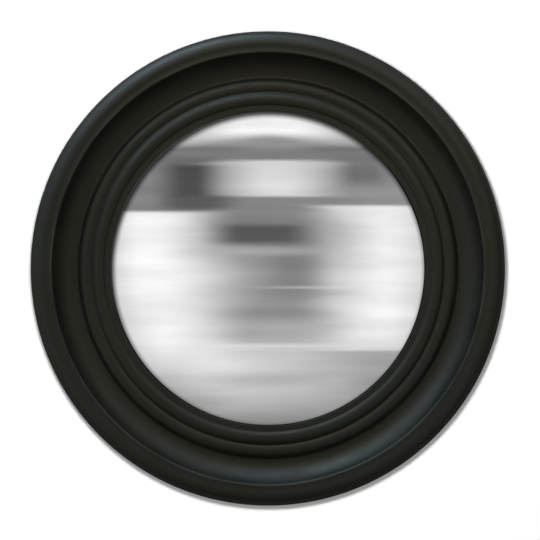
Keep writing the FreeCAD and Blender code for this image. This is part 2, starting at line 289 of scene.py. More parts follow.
def blurred(points, softness):
    """A closed outline of even points with its corners rounded, as paint or a die rounds them."""
    reach = math.ceil(3 * softness / outline_grain)
    weights = np.exp(-0.5 * (np.arange(-reach, reach + 1) * outline_grain / softness) ** 2)
    around = np.vstack([points[-reach:], points, points[:reach]])
    return np.column_stack([np.convolve(around[:, k], weights / weights.sum(), "valid") for k in (0, 1)])


def needed_points(points):
    """Which points keep an outline within its tolerance."""
    kept = {0, len(points) - 1}
    spans = [(0, len(points) - 1)]
    while spans:
        first, last = spans.pop()
        if last - first < 2:
            continue
        chord = points[last] - points[first]
        between = points[first + 1:last] - points[first]
        length = np.linalg.norm(chord)
        if length > outline_grain / 2:
            away = abs(chord[0] * between[:, 1] - chord[1] * between[:, 0]) / length
        else:
            away = np.linalg.norm(between, axis=1)
        far = first + 1 + int(away.argmax())
        if away.max() > outline_tolerance:
            kept.add(far)
            spans += [(first, far), (far, last)]
    return sorted(kept)


def softened(outline, softness, on_axis):
    """Places and normals of an outline with soft corners. One that ends on the axis is mirrored there."""
    points = np.array(outline)
    if on_axis:
        points = np.vstack([points, points[-2:0:-1] * (-1.0, 1.0)])
    smooth = blurred(even_points(points), softness)
    ahead = np.roll(smooth, -1, axis=0) - np.roll(smooth, 1, axis=0)
    area = np.sum(smooth[:, 0] * np.roll(smooth[:, 1], -1) - smooth[:, 1] * np.roll(smooth[:, 0], -1))
    normals = ahead[:, ::-1] * ((1.0, -1.0) if area > 0 else (-1.0, 1.0))
    normals /= np.linalg.norm(normals, axis=1)[:, None]
    if on_axis:
        half = len(smooth) // 2 + 1
        smooth, normals = smooth[:half], normals[:half]
        smooth[[0, -1], 0] = normals[[0, -1], 0] = 0.0
    kept = needed_points(smooth if on_axis else np.vstack([smooth, smooth[:1]]))
    kept = kept if on_axis else kept[:-1]
    return smooth[kept], normals[kept], area > 0


def turned(name, outline, softness=crisp_softness, on_axis=False, segments=ring_segments):
    """A mesh turned from an outline about the mirror's axis, with the outline's own normals."""
    places, slopes, forward = softened(outline, softness, on_axis)
    turn = np.arange(segments) * 2 * math.pi / segments
    rows, points, normals = [], [], []
    for (radius, height), (out, front) in zip(places, slopes):
        count = 1 if on_axis and radius == 0.0 else segments
        rows.append([len(points) + k % count for k in range(segments + 1)])
        for angle in turn[:count]:
            points.append((radius * math.cos(angle), depth_y(height), radius * math.sin(angle)))
            normals.append((out * math.cos(angle), -front, out * math.sin(angle)))
    pairs = list(zip(rows, rows[1:])) if on_axis else list(zip(rows, rows[1:] + rows[:1]))
    faces = []
    for near, far in pairs:
        for k in range(segments):
            face = [near[k], far[k], far[k + 1], near[k + 1]]
            faces.append(list(dict.fromkeys(face[::-1] if forward else face)))
    mesh = bpy.data.meshes.new(name)
    mesh.from_pydata((np.array(points) * MM).tolist(), [], faces)
    mesh.shade_smooth()
    mesh.normals_split_custom_set_from_vertices(normals)
    return mesh


def placed(name, data):
    """An object for a mesh, a lamp or a camera, in the scene."""
    item = bpy.data.objects.new(name, data)
    bpy.context.scene.collection.objects.link(item)
    return item


def dressed(name, node, slot, mesh, *materials, body="mirror_frame"):
    """A visible piece that rides on a body in place of a CAD node."""
    piece = placed(name, mesh)
    for material in materials:
        mesh.materials.append(material)
    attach(piece, body)
    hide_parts(node)
    return piece


def outer_ring_outline():
    """Cove, lip, valley and rim bead in front, rebate and flat face behind. Paint fills the joint."""
    return [(frame_rebate_radius, 0.0), (side_back_radius - back_chamfer, 0.0),
            (side_back_radius, back_chamfer), (side_top_radius, rim_return_height),
            *arc(rim_bead_centre_radius, rim_bead_centre_height, rim_bead_radius,
                 -rim_return, 90 + rim_inner_flank),
            *arc(valley_centre_radius, valley_centre_height, valley_radius,
                 rim_inner_flank - 90, -rim_inner_flank - 90),
            *arc(arris_top_radius, arris_centre_height, arris_radius, 90, 90 + cove_sweep),
            *arc(cove_centre_radius, cove_centre_height, cove_radius, cove_sweep - 90, joint_sweep - 90),
            *arc(joint_fillet_radius, joint_fillet_height, joint_fillet,
                 joint_sweep - 90, -90 - outer_bead_flank),
            (toe_radius, toe_ledge), (frame_rebate_radius, toe_ledge)]


def inner_ring_outline():
    """Sight lip and two beads in front, a flange behind the outer ring's toe and the rebate for the glass."""
    return [(glass_rebate_radius, backboard_thickness), (inner_ring_radius, backboard_thickness),
            (inner_ring_radius, toe_ledge), (inner_ring_front_radius, toe_ledge),
            *arc(outer_bead_centre, outer_bead_centre_height, outer_bead_radius,
                 90 - outer_bead_flank, 90 + bead_inner_flank),
            *arc(inner_bead_centre, inner_bead_centre_height, inner_bead_radius,
                 90 - inner_bead_flank, 90 + bead_inner_flank),
            (lip_outer_radius, lip_front), (sight_radius, lip_front),
            (sight_radius, ledge_height), (glass_rebate_radius, ledge_height)]


def glass_outline():
    """A shell of even thickness between two spheres, with a ground rim."""
    bevel_radius = glass_radius - glass_edge_bevel
    front_rim = sphere_height(dome_centre, dome_radius, glass_radius)
    return [(0.0, dome_centre + dome_radius), *dome(dome_radius, 0.0, bevel_radius),
            (glass_radius, front_rim - glass_edge_bevel), (glass_radius, glass_back_rim + glass_edge_bevel),
            *dome(dome_back_radius, bevel_radius, 0.0)]


def felt_outline():
    """Soft ring between the sight lip and the front of the glass."""
    outer_radius = glass_radius - felt_setback
    return [(felt_inner_radius, ledge_height), (outer_radius, ledge_height),
            *dome(dome_radius + seat_clearance, outer_radius, felt_inner_radius)]


def foam_outline():
    """Soft ring with bulging sides, pressed between the packing ring and the hollow back of the glass."""
    outer_radius = glass_radius - foam_play
    seat_radius = dome_back_radius - seat_clearance
    outer_middle, inner_middle = ((packing_front + sphere_height(dome_centre, seat_radius, radius)) / 2
                                  for radius in (outer_radius, packing_inner_radius))
    return [(packing_inner_radius, packing_front), (outer_radius, packing_front),
            (outer_radius + foam_bulge, outer_middle),
            *dome(seat_radius, outer_radius, packing_inner_radius),
            (packing_inner_radius - foam_bulge, inner_middle)]


def flat_outline(inner_radius, outer_radius, back, front):
    """A flat ring, or a disc."""
    return [(inner_radius, back), (outer_radius, back), (outer_radius, front), (inner_radius, front)]


def bumper_outline():
    """Moulded pad with a thin foot, a rounded edge and a flat face towards the wall."""
    pad_radius = bumper_radius - bumper_foot_step
    return [(0.0, 0.0), (bumper_radius, 0.0), (bumper_radius, -bumper_foot_height),
            (pad_radius, -bumper_foot_height),
            *arc(pad_radius - bumper_rounding, bumper_rounding - bumper_height, bumper_rounding, 0.0, -90),
            (0.0, -bumper_height)]


# Stamped, swept and threaded pieces


def stadium(first_x, last_x, radius):
    """A flat bar with round ends, as a function of how far its edge is drawn in."""
    turns = np.linspace(-90, 90, small_segments // 2 + 1)

    def edge(inset):
        reach = radius - inset
        last = [(last_x + reach * cosine(t), reach * sine(t)) for t in turns]
        first = [(first_x - reach * cosine(t), -reach * sine(t)) for t in turns]
        return last + first

    return edge


def hole(centre_x, radius):
    """A round hole, as a function of how far its edge is drawn back."""
    turns = np.linspace(0, 360, small_segments, endpoint=False)
    return lambda inset: [(centre_x + (radius + inset) * cosine(t), (radius + inset) * sine(t))
                          for t in turns]


def rounded_levels(near, far, rounding):
    """Insets and heights that go from a plate's near face round both edges to its far face."""
    angles = np.linspace(0, 90, rounding_steps + 1)
    front = [(rounding * (1 - sine(a)), near - rounding * (1 - cosine(a))) for a in angles]
    back = [(rounding * (1 - sine(a)), far + rounding * (1 - cosine(a))) for a in angles]
    return front + back[::-1]


def pressed_levels(start, rise, flank):
    """Insets and heights of a rib's flank, an even curve up from the plate."""
    shares = np.linspace(0, 1, rib_steps + 1)
    return [(flank * (s - 0.5), start - rise * (1 - math.cos(math.pi * s)) / 2) for s in shares]


def join_rings(made, rings, closed=False):
    """Faces from each ring of points to the next."""
    for lower, upper in zip(rings, rings[1:] + rings[:1] if closed else rings[1:]):
        for k in range(len(lower)):
            after = (k + 1) % len(lower)
            made.faces.new((lower[k], lower[after], upper[after], upper[k]))


class Stamping:
    """A flat stamped piece: rings of points joined by walls, with the flat faces between them filled."""

    def __init__(self):
        self.mesh = bmesh.new()

    def wall(self, edge, levels):
        """Joins one ring of points for each level and gives the first and the last."""
        rings = [[self.mesh.verts.new((x, depth_y(height), z)) for x, z in edge(inset)]
                 for inset, height in levels]
        join_rings(self.mesh, rings)
        return rings[0], rings[-1]

    def fill(self, *rings):
        """A flat face inside the first ring, open where the others are."""
        edges = []
        for ring in rings:
            for k, point in enumerate(ring):
                pair = (point, ring[(k + 1) % len(ring)])
                edges.append(self.mesh.edges.get(pair) or self.mesh.edges.new(pair))
        bmesh.ops.triangle_fill(self.mesh, edges=edges, use_beauty=True)

    def finished(self, name):
        bmesh.ops.remove_doubles(self.mesh, verts=self.mesh.verts, dist=outline_tolerance)
        return finished_mesh(self.mesh, name)


def finished_mesh(made, name):
    """A mesh in metres from a bmesh in millimetres."""
    bmesh.ops.recalc_face_normals(made, faces=made.faces)
    mesh = bpy.data.meshes.new(name)
    made.to_mesh(mesh)
    made.free()
    mesh.transform(Matrix.Scale(MM, 4))
    return smooth_but_for_edges(mesh)


def smooth_but_for_edges(mesh):
    mesh.shade_smooth()
    mesh.set_sharp_from_angle(angle=math.radians(sharp_angle))
    return mesh


def button_mesh():
    """Flat steel button with a pressed rib. Its screw is on the axis here and its tip points along -X."""
    near_face = -button_lift
    far_face = near_face - button_thickness
    tip_x = button_width / 2 - button_reach
    rib_last = -(screw_head_radius + button_rib_margin + button_rib_width / 2)
    rib = stadium(tip_x + button_rib_width / 2, rib_last, button_rib_width / 2)
    made = Stamping()
    body = made.wall(stadium(tip_x, 0.0, button_width / 2),
                     rounded_levels(near_face, far_face, button_edge_rounding))
    bore = made.wall(hole(0.0, screw_shank_radius + button_hole_play),
                     rounded_levels(near_face, far_face, button_edge_rounding / 2))
    ribs = [made.wall(rib, pressed_levels(face, button_rib_rise, button_rib_width / 3))
            for face in (near_face, far_face)]
    for face, (outer, inner) in enumerate(ribs):
        made.fill(body[face], bore[face], outer)
    for outer, inner in ribs:
        made.fill(inner)
    return made.finished("button")


def plate_mesh():
    """Two-screw plate whose tongue is rolled into a knuckle round the hanging ring."""
    made = Stamping()
    levels = rounded_levels(0.0, -plate_thickness, plate_edge_rounding)
    body = made.wall(stadium(-plate_screw_x, plate_screw_x, plate_height / 2), levels)
    bore_radius = screw_shank_radius + plate_hole_play
    bores = [made.wall(hole(side * plate_screw_x, bore_radius), levels) for side in (-1, 1)]
    for face in (0, 1):
        made.fill(body[face], *[bore[face] for bore in bores])
    for point in made.mesh.verts:
        point.co.z += plate_centre_z
    return combined(made.finished("plate"), knuckle_mesh(), "UNION")


def knuckle_mesh():
    """The tongue curled up and over, from the plate round the ring's bar."""
    straight_across = knuckle_width / 2 - knuckle_edge_rounding
    straight_through = plate_thickness / 2 - knuckle_inset - knuckle_edge_rounding
    corners = []
    for across, through, first in ((1, 1, 0), (-1, 1, 90), (-1, -1, 180), (1, -1, 270)):
        for angle in steps(first, first + 90, knuckle_corner_steps):
            corners.append((across * straight_across + knuckle_edge_rounding * cosine(angle),
                            through * straight_through + knuckle_edge_rounding * sine(angle)))
    middle_radius = (knuckle_bore_radius + knuckle_outer_radius) / 2
    pivot = Vector((0.0, depth_y(ring_pivot_height), ring_pivot_z))
    sideways = Vector((1, 0, 0))
    stations = [(Vector((0.0, pivot.y - middle_radius, plate_centre_z)), sideways, Vector((0, -1, 0)))]
    for angle in steps(0.0, knuckle_sweep, knuckle_steps):
        outward = Vector((0.0, -cosine(angle), sine(angle)))
        stations.append((pivot + outward * middle_radius, sideways, outward))
    return swept("knuckle", stations, corners)


def swept(name, stations, section, closed=False):
    """A section carried along stations, each a place and the two directions that it is drawn in."""
    rings = [[place + across * u + through * v for u, v in section] for place, across, through in stations]
    return skinned(name, rings, closed)


def skinned(name, rings, closed=False):
    """A mesh through rings of points, with flat ends unless it closes on itself."""
    made = bmesh.new()
    rings = [[made.verts.new(point) for point in ring] for ring in rings]
    join_rings(made, rings, closed)
    if not closed:
        made.faces.new(rings[0])
        made.faces.new(rings[-1])
    return finished_mesh(made, name)


def ring_stations():
    """The wire's centre line: a bar in the knuckle, two corners, two legs and a half-round bow."""
    leg_top = ring_pivot_z - ring_corner_radius
    bends = ((ring_bar_half, leg_top, ring_corner_radius, 90, 0),
             (0.0, leg_top - ring_leg_length, ring_half_width, 0, -180),
             (-ring_bar_half, leg_top, ring_corner_radius, 180, 90))
    stations = []
    for centre_x, centre_z, bend_radius, first, last in bends:
        centre = Vector((centre_x, depth_y(ring_pivot_height), centre_z))
        for angle in steps(first, last, round(abs(last - first) / ring_bend_step)):
            outward = Vector((cosine(angle), 0.0, sine(angle)))
            stations.append((centre + outward * bend_radius, outward, Vector((0, 1, 0))))
    return stations


def hanging_ring_mesh():
    section = [(ring_wire_radius * cosine(turn), ring_wire_radius * sine(turn))
               for turn in steps(0.0, 360.0, ring_wire_sides)[:-1]]
    return swept("hanging_ring", ring_stations(), section, closed=True)


def thread_rise(height, angle):
    """How far the thread stands out of the screw's root at a depth and an angle."""
    phase = (height / screw_thread_pitch + angle / 360) % 1.0
    ridge = max(0.0, 1.0 - abs(phase - 0.5) * screw_thread_sharpness)
    tip_share = min(1.0, (screw_depth - height) / screw_tip_length)
    return (screw_shank_radius - screw_root_radius) * (ridge * tip_share)


def screw_mesh():
    """Round-headed wood screw with a cross recess and a thread, its head seated at height 0."""
    crown = screw_head_height - screw_head_edge
    crown_radius = (screw_head_radius ** 2 + crown ** 2) / (2 * crown)
    crown_centre = crown_radius - screw_head_height
    crown_angle = math.degrees(math.asin(screw_head_radius / crown_radius))
    rows = [(crown_radius * sine(angle), crown_centre - crown_radius * cosine(angle))
            for angle in steps(0.0, crown_angle, screw_crown_steps)[1:]]
    rows += [(screw_head_radius, -screw_head_edge / 3), (screw_head_radius - screw_head_edge / 4, 0.0),
             (screw_shank_radius, 0.0), (screw_shank_radius, screw_neck_length)]
    turns = steps(0.0, 360.0, small_segments)[:-1]
    levels = [(height, [radius] * small_segments) for radius, height in rows]
    for height in steps(screw_neck_length, screw_depth, screw_thread_steps)[1:-1]:
        root = screw_root_radius * min(1.0, (screw_depth - height) / screw_tip_length)
        levels.append((height, [root + thread_rise(height, turn) for turn in turns]))
    made = bmesh.new()
    rings = [[made.verts.new((radius * cosine(turn), depth_y(height), radius * sine(turn)))
              for radius, turn in zip(radii, turns)] for height, radii in levels]
    join_rings(made, rings)
    for height, ring in ((-screw_head_height, rings[0]), (screw_depth, rings[-1])):
        end = made.verts.new((0.0, depth_y(height), 0.0))
        for k, point in enumerate(ring):
            made.faces.new((end, point, ring[(k + 1) % len(ring)]))
    return combined(finished_mesh(made, "screw"), recess_mesh(), "DIFFERENCE")


def recess_mesh():
    """The cross recess, wide at the crown and narrow at its floor."""
    rings = []
    for depth_share, length_share, width_share in screw_recess_levels:
        reach = screw_recess_length / 2 * length_share
        half = screw_recess_width / 2 * width_share
        height = screw_recess_depth * depth_share - screw_head_height
        points = [Matrix.Rotation(math.radians(90 * quarter), 2) @ Vector(corner)
                  for quarter in range(4) for corner in ((reach, -half), (reach, half), (half, half))]
        rings.append([(point.x, depth_y(height), point.y) for point in points])
    return skinned("recess", rings)


def combined(base, other, operation):
    """One mesh joined with another or cut by it."""
    holder, cutter = placed("boolean_base", base), placed("boolean_other", other)
    step = holder.modifiers.new("boolean", "BOOLEAN")
    step.operation = operation
    step.solver = "EXACT"
    step.object = cutter
    depsgraph = bpy.context.evaluated_depsgraph_get()
    mesh = bpy.data.meshes.new_from_object(holder.evaluated_get(depsgraph))
    for item in (holder, cutter):
        bpy.data.objects.remove(item)
    return smooth_but_for_edges(mesh)


def at_angle(radius, angle):
    """Moves a piece from the mirror's axis out along +X and turns it up towards +Z."""
    return Matrix.Rotation(math.radians(-angle), 4, "Y") @ Matrix.Translation((radius * MM, 0, 0))


def moved(mesh, matrix):
    copy = mesh.copy()
    copy.transform(matrix)
    return copy


# Materials

turning_mark_length = 9.0
# How far before the centre of the rim bead its outer side starts to lose its sheen, and has lost it
side_dull_from = 8.5
side_dull_to = 4.5
side_dulling = 0.40
# A painted shade at the edge of the silvering, which stands in for the reflection of the dark sight lip
painted_shade_start = 118.8
painted_shade_end = 125.0
painted_shade_right = 1.0
painted_shade_down = 1.9


class Value:
    """One output of a node. Each sum, product or method gives the output of a new node."""

    def __init__(self, graph, socket):
        self.graph = graph
        self.socket = socket

    def __add__(self, other):
        return self.graph.math("ADD", self, other)

    def __sub__(self, other):
        return self.graph.math("SUBTRACT", self, other)

    def __rsub__(self, other):
        return self.graph.math("SUBTRACT", other, self)

    def __mul__(self, other):
        return self.graph.math("MULTIPLY", self, other)

    def __truediv__(self, other):
        return self.graph.math("DIVIDE", self, other)

    def between(self, low, high, to_low=0.0, to_high=1.0):
        """A smooth change from one number to another as the value goes from low to high."""
        inputs = {"Value": self, "From Min": low, "From Max": high, "To Min": to_low, "To Max": to_high}
        return self.graph.node("ShaderNodeMapRange", inputs, interpolation_type="SMOOTHSTEP")

    def parts(self):
        node = self.graph.node("ShaderNodeSeparateXYZ", {0: self}).socket.node
        return [Value(self.graph, socket) for socket in node.outputs]

    def stretched(self, *along):
        return self.graph.vector_math("MULTIPLY", self, along)

    def noise(self, size, detail=3.0, roughness=0.5):
        """Cloudy noise whose lumps are about as large as size."""
        inputs = {"Vector": self, "Scale": 1 / (size * MM), "Detail": detail, "Roughness": roughness}
        return self.graph.node("ShaderNodeTexNoise", inputs)

    def cells(self, size, output="Distance"):
        return self.graph.node("ShaderNodeTexVoronoi", {"Vector": self, "Scale": 1 / (size * MM)}, output)

    def bump(self, depth, **before):
        """The slope of a surface with this height, on top of another slope if there is one."""
        return self.graph.node("ShaderNodeBump", {"Distance": depth * MM, "Height": self, **before})


class Graph:
    """Adds nodes to a material or a world."""

    def __init__(self, tree):
        self.tree = tree

    def node(self, kind, inputs, output=0, **settings):
        """One output of a new node whose inputs are given by name or number."""
        node = self.tree.nodes.new(kind)
        for key, value in settings.items():
            setattr(node, key, value)
        for key, value in inputs.items():
            self.feed(node.inputs[key], value)
        return Value(self, node.outputs[output])

    def feed(self, socket, value):
        """Links an output to a socket, or sets a plain value on it."""
        if isinstance(value, Value):
            self.tree.links.new(value.socket, socket)
        elif socket.type == "RGBA":
            socket.default_value = (*value, 1.0)
        else:
            socket.default_value = value

    def math(self, operation, *values):
        return self.node("ShaderNodeMath", dict(enumerate(values)), operation=operation)

    def vector_math(self, operation, *values):
        return self.node("ShaderNodeVectorMath", dict(enumerate(values)), operation=operation)

    def vector(self, *values):
        return self.node("ShaderNodeCombineXYZ", dict(enumerate(values)))

    def mix(self, share, first, second, label=""):
        return self.node("ShaderNodeMix", {0: share, 6: first, 7: second}, 2, data_type="RGBA", label=label)

    def end(self, kind, surface):
        """Sends a shader to the output node."""
        self.feed(self.tree.nodes.new(kind).inputs["Surface"], surface)


class Finish(Graph):
    """A material on one principled shader. Object coordinates are the row frame's, in metres."""

    def __init__(self, name):
        self.material = bpy.data.materials.new(name)
        self.material.use_nodes = True
        super().__init__(self.material.node_tree)
        self.place = self.node("ShaderNodeTexCoord", {}, "Object")

    def finished(self, colour, roughness, normal, *others):
        """The material, with its shader's inputs fed."""
        shader = self.tree.nodes["Principled BSDF"]
        for name, value in (("Base Color", colour), ("Roughness", roughness), ("Normal", normal), *others):
            if value is not None:
                self.feed(shader.inputs[name], value)
        return self.material


def frame_paint():
    """Satin off-black lacquer on turned wood: turning marks, orange peel, a few pits, and lighter edges that
    are partly rubbed wear and partly a painted highlight.
    """
    paint = Finish("satin_black_lacquer")
    x, y, z = paint.place.parts()
    radius = paint.math("SQRT", x * x + z * z)
    drawn_out = turning_mark_length * MM
    turning = paint.vector(x / radius * drawn_out, z / radius * drawn_out, radius + y)
    streaks = turning.noise(0.9, detail=4, roughness=0.62)
    clouds = paint.place.noise(38.0)
    peel = paint.place.noise(1.6, detail=2)
    speckle = paint.place.noise(0.45, detail=1)
    tone = (streaks * 0.55 + clouds * 0.45).between(0.36, 0.64)
    colour = paint.mix(tone, (0.0020, 0.0020, 0.0014), (0.0031, 0.0031, 0.0022))
    # Lighter colour along the crests and the back corner: partly worn paint, partly a painted highlight along
    # the crests
    wear_and_highlight = wear_and_edge_highlight(paint, radius, y, clouds, speckle)
    colour = paint.mix(wear_and_highlight, colour, (0.034, 0.033, 0.028))
    outside = paint.math("GREATER_THAN", radius, rim_bead_centre_radius * MM)
    low = y.between(depth_y(rim_bead_centre_height + side_dull_from) * MM,
                    depth_y(rim_bead_centre_height + side_dull_to) * MM)
    worn = streaks.between(0.3, 0.7, 0.51, 0.59) + clouds.between(0.35, 0.65, -0.03, 0.04) - wear_and_highlight * 0.06
    roughness = paint.math("MULTIPLY_ADD", outside * low, side_dulling, worn)
    pits = paint.place.cells(9.0).between(0.0, 0.05, 1.0, 0.0)
    skin = streaks.bump(0.03, Normal=peel.bump(0.035))
    skin = (pits * -1.0).bump(0.10, Normal=skin)
    return paint.finished(colour, roughness, skin, ("Specular IOR Level", 0.265),
                          ("Specular Tint", (1.0, 0.96, 0.71)))


def wear_and_edge_highlight(paint, radius, y, clouds, speckle):
    """Lighter broken lines along the crests and the back corner: partly wear where hands and dusters have
    thinned the finish, partly a painted highlight along the crests.
    """
    behind = paint.math("GREATER_THAN", y, depth_y(2 * back_chamfer) * MM)
    wear_and_highlight = 0.0
    for edge_radius, width, where in ((arris_top_radius, 0.5, 1.0), (sight_radius, 0.5, 1.0),
                                      (side_back_radius, 0.9, behind)):
        away = paint.math("ABSOLUTE", radius - edge_radius * MM)
        wear_and_highlight = paint.math("MAXIMUM", wear_and_highlight, away.between(0.0, width * MM, 1.0, 0.0) * where)
    return wear_and_highlight * (clouds + speckle * 0.5).between(0.66, 0.90)


def silvered_glass():
    """Silvering behind clear glass, with a faint haze, and a soft painted shade at its edge, widest at the
    top, that stands in for the reflected sight lip.
    """
    glass = Finish("silvered_glass")
    haze = glass.place.noise(45.0, detail=4)
    painted_shade_middle = (painted_shade_right * MM, 0.0, -painted_shade_down * MM)
    x, _, z = glass.vector_math("SUBTRACT", glass.place, painted_shade_middle).parts()
    # edge: painted shade that darkens the glass towards its rim, widest at the top, where the metal also
    # falls away
    edge = glass.math("SQRT", x * x + z * z).between(painted_shade_start * MM, painted_shade_end * MM)
    specks = glass.place.cells(7.0).between(0.0, 0.035, 1.0, 0.0)
    tint = glass.mix(haze.between(0.3, 0.7), (0.925, 0.93, 0.928), (0.955, 0.957, 0.955))
    tint = glass.mix(specks * 0.25, tint, (0.5, 0.5, 0.49))
    return glass.finished(glass.mix(edge, tint, (0.034, 0.034, 0.031)), haze.between(0.3, 0.7, 0.018, 0.03),
                          None, ("Metallic", edge.between(0.94, 1.0, 1.0, 0.0)))


def ground_glass_edge():
    """Ground rim of the glass."""
    edge = Finish("ground_glass_edge")
    grind = edge.place.noise(0.5)
    return edge.finished(edge.mix(grind, (0.30, 0.36, 0.33), (0.46, 0.52, 0.49)),
                         grind.between(0.3, 0.7, 0.35, 0.6), grind.bump(0.05))


def mirror_back_paint():
    """Grey protective paint over the silvering."""
    paint = Finish("mirror_back_paint")
    runs = paint.place.stretched(1, 1, 0.25).noise(9.0, detail=4)
    return paint.finished(paint.mix(runs, (0.16, 0.155, 0.15), (0.24, 0.235, 0.225)),
                          runs.between(0.3, 0.7, 0.45, 0.62), runs.bump(0.06))


def black_felt():
    """Pressed felt: short crossed fibres."""
    felt = Finish("black_felt")
    fibres = felt.place.stretched(1, 1, 3).noise(0.8, detail=6, roughness=0.75)
    return felt.finished(felt.mix(fibres, (0.006, 0.006, 0.006), (0.03, 0.029, 0.027)),
                         fibres.between(0.3, 0.7, 0.85, 1.0), fibres.bump(0.3),
                         ("Sheen Weight", 0.35), ("Sheen Roughness", 0.6))


def grey_foam():
    """Fine open foam."""
    foam = Finish("grey_foam")
    pores = foam.place.cells(0.9)
    return foam.finished(foam.mix(pores.between(0.1, 0.6), (0.03, 0.03, 0.032), (0.12, 0.12, 0.124)),
                         pores.between(0.1, 0.6, 0.8, 0.95), pores.bump(0.3))


def fibreboard():
    """Pale brown board of pressed wood fibres."""
    board = Finish("fibreboard")
    fibres = board.place.stretched(1, 3, 1).noise(0.7, detail=6, roughness=0.7)
    clumps = board.place.noise(12.0)
    tone = board.mix(fibres, (0.22, 0.14, 0.075), (0.42, 0.30, 0.18))
    return board.finished(board.mix(clumps.between(0.35, 0.65, 0.0, 0.3), tone, (0.26, 0.17, 0.10)),
                          fibres.between(0.3, 0.7, 0.7, 0.88), fibres.bump(0.08))


def hardboard():
    """Brown pressed hardboard: a smooth tempered face with dark fibres and a few light scuffs."""
    board = Finish("hardboard")
    fibres = board.place.stretched(1, 1, 0.45).noise(1.1, detail=7, roughness=0.72)
    crossed = board.place.stretched(0.4, 1, 1).noise(0.9, detail=6, roughness=0.7)
    clouds = board.place.noise(55.0, detail=4)
    flecks = (fibres * crossed).between(0.30, 0.42)
    scuffs = board.place.stretched(0.12, 1, 1.3).noise(3.2, detail=5, roughness=0.6).between(0.66, 0.76)
    tone = board.mix(clouds.between(0.35, 0.65), (0.085, 0.043, 0.020), (0.125, 0.067, 0.033))
    tone = board.mix(fibres.between(0.38, 0.62, 0.0, 0.55), tone, (0.060, 0.030, 0.014))
    tone = board.mix(flecks * 0.5, tone, (0.19, 0.115, 0.062))
    return board.finished(board.mix(scuffs * 0.35, tone, (0.26, 0.19, 0.13)),
                          fibres.between(0.3, 0.7, 0.42, 0.60), (fibres + crossed).bump(0.05))


def zinc_plate():
    """Bright zinc on stamped and headed steel: spangle, fine scratches and a faint warm passivation."""
    zinc = Finish("zinc_plated_steel")
    tone = zinc.place.cells(1.4, output="Color").parts()[0]
    stains = zinc.place.noise(5.0, detail=4)
    scratch_x = zinc.place.stretched(0.08, 1, 1.6).noise(0.35)
    scratch_z = zinc.place.stretched(1.4, 1, 0.1).noise(0.4)
    scratches = zinc.math("MAXIMUM", scratch_x.between(0.62, 0.72), scratch_z.between(0.64, 0.74))
    colour = zinc.mix(tone, (0.52, 0.53, 0.55), (0.62, 0.63, 0.645))
    colour = zinc.mix(stains.between(0.42, 0.68, 0.0, 0.45), colour, (0.56, 0.52, 0.42))
    colour = zinc.mix(scratches * 0.4, colour, (0.74, 0.74, 0.75))
    roughness = stains.between(0.3, 0.7, 0.24, 0.42) + tone * 0.06 - scratches * 0.08
    skin = (scratches * -1.0).bump(0.015, Normal=zinc.place.noise(0.8).bump(0.02))
    return zinc.finished(colour, roughness, skin, ("Metallic", 1.0))


def bumper_rubber():
    """Matt dark rubber, dusty on its worn face."""
    rubber = Finish("bumper_rubber")
    grain = rubber.place.noise(0.5, detail=4)
    dust = rubber.place.noise(3.5, detail=4)
    tone = rubber.mix(grain, (0.018, 0.018, 0.019), (0.034, 0.034, 0.035))
    return rubber.finished(rubber.mix(dust.between(0.48, 0.72, 0.0, 0.35), tone, (0.13, 0.12, 0.11)),
                           dust.between(0.3, 0.7, 0.6, 0.85), grain.bump(0.04),
                           ("Specular IOR Level", 0.35))


# Pieces


def dress_frame():
    paint = frame_paint()
    dressed("outer_ring_painted", "outer_frame_ring", "frame_paint",
            turned("outer_ring", outer_ring_outline(), paint_softness), paint)
    dressed("inner_ring_painted", "inner_bead_ring", "frame_paint",
            turned("inner_ring", inner_ring_outline(), paint_softness), paint)


def dress_glass():
    mesh = turned("glass", glass_outline(), on_axis=True)
    dressed("silvered_dome", "convex_mirror_glass", "mirror_glass", mesh,
            silvered_glass(), ground_glass_edge(), mirror_back_paint())
    rim_start = (glass_radius - glass_edge_bevel) * MM
    for face in mesh.polygons:
        if math.hypot(face.center.x, face.center.z) > rim_start:
            face.material_index = 1
        elif face.normal.y > 0:
            face.material_index = 2
    felt = dressed("felt_seat", "felt_seat_ring", "felt", turned("felt", felt_outline()), black_felt())


def dress_back():
    outline = flat_outline(0.0, frame_rebate_radius - backboard_play, 0.0, backboard_thickness)
    dressed("backboard_disc", "backboard", "hardboard",
            turned("backboard", outline, on_axis=True), hardboard())
    rubber = bumper_rubber()
    pad = turned("bumper", bumper_outline(), on_axis=True, segments=small_segments)
    for number, angle in enumerate(bumper_angles, start=1):
        dressed(f"bumper_{number}", f"wall_bumper_{number}", "bumper_rubber",
                moved(pad, at_angle(bumper_place_radius, angle)), rubber)


def dress_hardware():
    zinc = zinc_plate()
    button, screw = button_mesh(), screw_mesh()
    for number, angle in enumerate(button_angles, start=1):
        node = f"turn_button_{number}"
        place = at_angle(button_screw_radius, angle)
        dressed(f"button_{number}", node, "plated_steel", moved(button, place), zinc, body=node)
        dressed(f"button_screw_{number}", f"turn_button_screw_{number}", "plated_steel",
                moved(screw, place @ seated(button_screw_seat, number)), zinc)
    dressed("hanger", "hanger_plate", "plated_steel", plate_mesh(), zinc)
    for side, name in ((1, "left"), (-1, "right")):
        place = Matrix.Translation((side * plate_screw_x * MM, 0, plate_centre_z * MM))
        dressed(f"plate_screw_{name}", f"hanger_screw_{name}", "plated_steel",
                moved(screw, place @ seated(-plate_thickness, 3 * side)), zinc)
    dressed("wire_ring", "hanging_ring", "plated_steel", hanging_ring_mesh(), zinc, body="hanging_ring")


def seated(seat, number):
    """Puts the screw's head on its seat, driven home to an angle of its own."""
    turn = Matrix.Rotation(math.radians(screw_turn_step * number), 4, "Y")
    return Matrix.Translation((0, -seat * MM, 0)) @ turn


